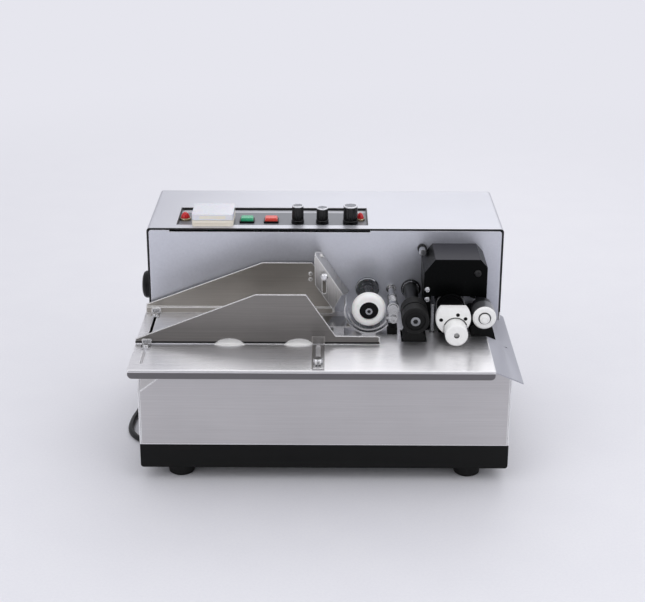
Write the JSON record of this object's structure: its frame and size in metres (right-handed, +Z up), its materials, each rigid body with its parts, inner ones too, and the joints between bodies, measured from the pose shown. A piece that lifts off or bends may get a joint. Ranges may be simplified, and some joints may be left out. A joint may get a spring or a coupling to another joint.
{
  "type": "date coding machine",
  "caption": "Desk-top machine that feeds cards from a hopper under a feed wheel, prints a date on each with a heated ink roll and print wheel, and drops it off a sloping flap.",
  "frame": {"origin": "middle of the machine's outline on the desk, under its feet and without its lead", "axes": "+X to the right along the card path, +Y to the back, +Z up; the working side faces -Y"},
  "size_m": [0.4588, 0.468, 0.2807],
  "materials": {
    "satin_stainless": "satin stainless sheet of the housing",
    "black_enamel": "satin black enamel",
    "stainless": "brushed stainless sheet",
    "steel": "ground steel",
    "bright_steel": "bright plated steel",
    "black_oxide": "black oxide",
    "rubber": "matt black rubber",
    "white_nylon": "white nylon",
    "cream_plastic": "cream plastic",
    "black_plastic": "black moulding",
    "panel_grey": "dark grey panel",
    "green_plastic": "green cap",
    "red_plastic": "red cap",
    "board_green": "circuit board"
  },
  "bodies": {
    "housing": {"front_panel": "satin_stainless", "side_panels": "satin_stainless", "rear_panel": "satin_stainless", "top_cover": "satin_stainless", "tower_front_panel": "satin_stainless", "base_tray": "black_enamel", "ink_hood": "black_enamel", "print_frame": "black_enamel", "outfeed_deflector": "black_enamel", "work_table": "stainless", "gate_arm": "stainless", "feed_cradle": "stainless", "main_frame": "steel", "lower_bracket": "steel", "housing_screws": "bright_steel", "separator_post": "bright_steel", "separator_spring": "bright_steel", "shaft_flanges": "black_oxide", "drive_motor": "black_oxide", "rubber_feet": "rubber", "drive_belts": "rubber", "cord_gland": "rubber", "cord_lead": "rubber", "cord_coil": "rubber", "cord_tie": "rubber", "plug": "rubber", "counter_body": "cream_plastic", "button_bezels": "black_plastic", "potentiometers": "black_plastic", "control_panel": "panel_grey", "signal_lamps": "red_plastic", "control_board": "board_green"},
    "print_train": {"print_shaft": "black_oxide", "print_wheel": "steel", "crank_disc": "white_nylon"},
    "crank_grip": {"crank_handle": "white_nylon"},
    "feed_train": {"feed_shaft": "steel", "feed_hub": "black_oxide", "feed_tyre": "white_nylon"},
    "pull_train": {"pull_shaft": "steel", "pull_roller": "rubber"},
    "outfeed_train": {"outfeed_shaft": "steel", "outfeed_roller": "white_nylon"},
    "motor_rotor": {"motor_pulley": "steel"},
    "press_roll": {"press_roller": "rubber"},
    "lower_roll": {"lower_roller": "rubber"},
    "inking_roll": {"ink_roll": "rubber"},
    "start_cap": {"start_button": "green_plastic"},
    "stop_cap": {"stop_button": "red_plastic"},
    "speed_control": {"speed_knob": "black_plastic"},
    "delay_control": {"delay_knob": "black_plastic"},
    "heat_control": {"heat_knob": "black_plastic"},
    "side_control": {"side_knob": "black_plastic"},
    "counter_lid": {"counter_cover": "cream_plastic"},
    "front_card_guide": {"front_guide": "stainless"},
    "rear_card_guide": {"rear_guide": "stainless"},
    "strap_clamp": {"clamp_screw": "bright_steel"},
    "card_gate": {"feed_gate": "stainless"},
    "gate_clamp": {"gate_screw": "bright_steel"},
    "separator": {"separator_arm": "stainless"}
  },
  "joints": [
    {"name": "print_drive", "type": "hinge", "parent": "housing", "child": "print_train", "pos_m": [0.1471, -0.00925, 0.188], "axis": [0, 1, 0], "continuous": true},
    {"name": "feed_drive", "type": "hinge", "parent": "housing", "child": "feed_train", "pos_m": [0.0526, -0.00925, 0.188], "axis": [0, 1, 0], "continuous": true},
    {"name": "pull_drive", "type": "hinge", "parent": "housing", "child": "pull_train", "pos_m": [0.1041, -0.00925, 0.188], "axis": [0, 1, 0], "continuous": true},
    {"name": "outfeed_drive", "type": "hinge", "parent": "housing", "child": "outfeed_train", "pos_m": [0.1826, -0.00925, 0.188], "axis": [0, 1, 0], "continuous": true},
    {"name": "motor_drive", "type": "hinge", "parent": "housing", "child": "motor_rotor", "pos_m": [0.0421, -0.00925, 0.095], "axis": [0, 1, 0], "continuous": true},
    {"name": "press_turn", "type": "hinge", "parent": "housing", "child": "press_roll", "pos_m": [0.1471, -0.00925, 0.1586], "axis": [0, 1, 0], "continuous": true},
    {"name": "lower_turn", "type": "hinge", "parent": "housing", "child": "lower_roll", "pos_m": [0.1041, -0.00925, 0.1591], "axis": [0, 1, 0], "continuous": true},
    {"name": "ink_turn", "type": "hinge", "parent": "housing", "child": "inking_roll", "pos_m": [0.1521, -0.00925, 0.22153], "axis": [0, 1, 0], "continuous": true},
    {"name": "handle_spin", "type": "hinge", "parent": "print_train", "child": "crank_grip", "pos_m": [0.1497, -0.00925, 0.1756], "axis": [0, 1, 0], "continuous": true},
    {"name": "start_press", "type": "slide", "parent": "housing", "child": "start_cap", "axis": [0, 0, -1], "range_m": [0, 0.0025], "stiffness_N_per_m": 600, "springref_m": -0.002},
    {"name": "stop_press", "type": "slide", "parent": "housing", "child": "stop_cap", "axis": [0, 0, -1], "range_m": [0, 0.0025], "stiffness_N_per_m": 600, "springref_m": -0.002},
    {"name": "speed_turn", "type": "hinge", "parent": "housing", "child": "speed_control", "pos_m": [-0.0306, 0.04225, 0.262], "axis": [0, 0, 1], "range_deg": [-150, 150]},
    {"name": "delay_turn", "type": "hinge", "parent": "housing", "child": "delay_control", "pos_m": [-0.0014, 0.04225, 0.262], "axis": [0, 0, 1], "range_deg": [-150, 150]},
    {"name": "heat_turn", "type": "hinge", "parent": "housing", "child": "heat_control", "pos_m": [0.0321, 0.04225, 0.262], "axis": [0, 0, 1], "range_deg": [-150, 150]},
    {"name": "side_turn", "type": "hinge", "parent": "housing", "child": "side_control", "pos_m": [-0.2129, 0.04275, 0.18], "axis": [1, 0, 0], "range_deg": [-150, 150]},
    {"name": "counter_lid_lift", "type": "hinge", "parent": "housing", "child": "counter_lid", "pos_m": [-0.1306, 0.06485, 0.2719], "axis": [-1, 0, 0], "range_deg": [0, 95]},
    {"name": "front_guide_slide", "type": "slide", "parent": "housing", "child": "front_card_guide", "axis": [0, 1, 0], "range_m": [-0.038, 0.007]},
    {"name": "rear_guide_slide", "type": "slide", "parent": "housing", "child": "rear_card_guide", "axis": [0, -1, 0], "range_m": [0, 0.028]},
    {"name": "strap_clamp_turn", "type": "hinge", "parent": "housing", "child": "strap_clamp", "pos_m": [-0.0049, -0.14925, 0.162], "axis": [0, 0, 1], "range_deg": [-180, 180]},
    {"name": "gate_lift", "type": "slide", "parent": "housing", "child": "card_gate", "axis": [0, 0, 1], "range_m": [0, 0.018]},
    {"name": "gate_clamp_turn", "type": "hinge", "parent": "housing", "child": "gate_clamp", "pos_m": [0.0014, -0.03125, 0.2184], "axis": [0, 1, 0], "range_deg": [-180, 180]},
    {"name": "separator_swing", "type": "hinge", "parent": "housing", "child": "separator", "pos_m": [0.0806, -0.05325, 0.188], "axis": [0, 1, 0], "range_deg": [-3, 3]}
  ],
  "couplings": [
    {"joint": "feed_drive", "follows": "print_drive", "ratio": 1},
    {"joint": "pull_drive", "follows": "print_drive", "ratio": 1},
    {"joint": "outfeed_drive", "follows": "print_drive", "ratio": 1},
    {"joint": "motor_drive", "follows": "print_drive", "ratio": 1},
    {"joint": "press_turn", "follows": "print_drive", "ratio": -1.32},
    {"joint": "lower_turn", "follows": "print_drive", "ratio": -1.1923},
    {"joint": "ink_turn", "follows": "print_drive", "ratio": -0.97059}
  ]
}
